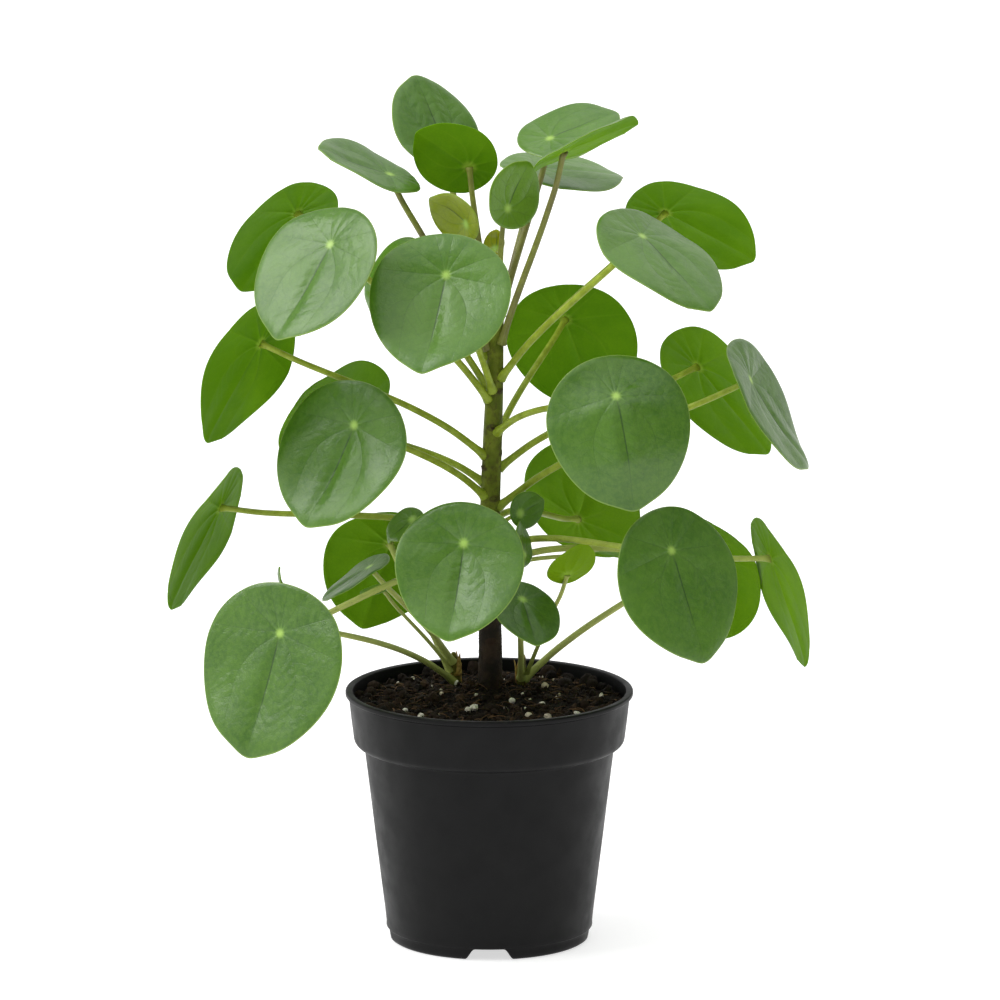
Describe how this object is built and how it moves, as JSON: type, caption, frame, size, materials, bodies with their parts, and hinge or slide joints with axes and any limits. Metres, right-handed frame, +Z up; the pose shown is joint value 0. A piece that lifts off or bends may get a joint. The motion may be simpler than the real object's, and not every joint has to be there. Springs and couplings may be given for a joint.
{
  "type": "potted pilea plant",
  "caption": "Round-leaved pilea house plant with an upright woody stem and long-stalked disc leaves, growing from soil in a tapered black nursery pot.",
  "frame": {"origin": "centre of the pot's foot, on the surface that the pot stands on", "axes": "+Z up along the pot's axis; the front of the plant looks towards -Y; +X is to the right seen from the front"},
  "size_m": [0.2669, 0.1706, 0.3562],
  "materials": {
    "pot_plastic": "satin moulded black plastic, finely grained",
    "soil": "moist dark potting mix with bark fibre and white perlite grains",
    "stem_bark": "brown scarred bark at the base, fading to smooth green towards the crown",
    "shoot_bark": "young brownish green stem",
    "leaf": "waxy green leaf, semi-gloss above, brighter and matter below, with a pale stalk"
  },
  "bodies": {
    "root": {"leaf_bud": "leaf", "leaf_far_left": "leaf", "leaf_far_left_upper": "leaf", "leaf_far_right": "leaf", "leaf_far_right_back": "leaf", "leaf_low_edge": "leaf", "leaf_low_far_right": "leaf", "leaf_low_front": "leaf", "leaf_low_left": "leaf", "leaf_low_left_back": "leaf", "leaf_low_right": "leaf", "leaf_low_right_back": "leaf", "leaf_low_right_behind": "leaf", "leaf_middle_back": "leaf", "leaf_middle_left": "leaf", "leaf_middle_left_back": "leaf", "leaf_middle_right": "leaf", "leaf_shoot_curled": "leaf", "leaf_shoot_flat": "leaf", "leaf_shoot_hidden": "leaf", "leaf_shoot_round": "leaf", "leaf_shoot_small": "leaf", "leaf_small_left": "leaf", "leaf_small_left_edge": "leaf", "leaf_small_right": "leaf", "leaf_small_right_edge": "leaf", "leaf_top_back": "leaf", "leaf_top_left": "leaf", "leaf_top_right": "leaf", "leaf_top_right_back": "leaf", "leaf_top_right_front": "leaf", "leaf_top_turned": "leaf", "leaf_upper_front": "leaf", "leaf_upper_left": "leaf", "leaf_upper_left_back": "leaf", "leaf_upper_right": "leaf", "leaf_upper_right_back": "leaf", "leaf_upper_shaded": "leaf", "leaf_young_folded": "leaf", "leaf_young_upright": "leaf", "left_shoot": "shoot_bark", "main_stem": "stem_bark", "nursery_pot": "pot_plastic", "potting_soil": "soil", "right_shoot": "shoot_bark"}
  },
  "joints": []
}
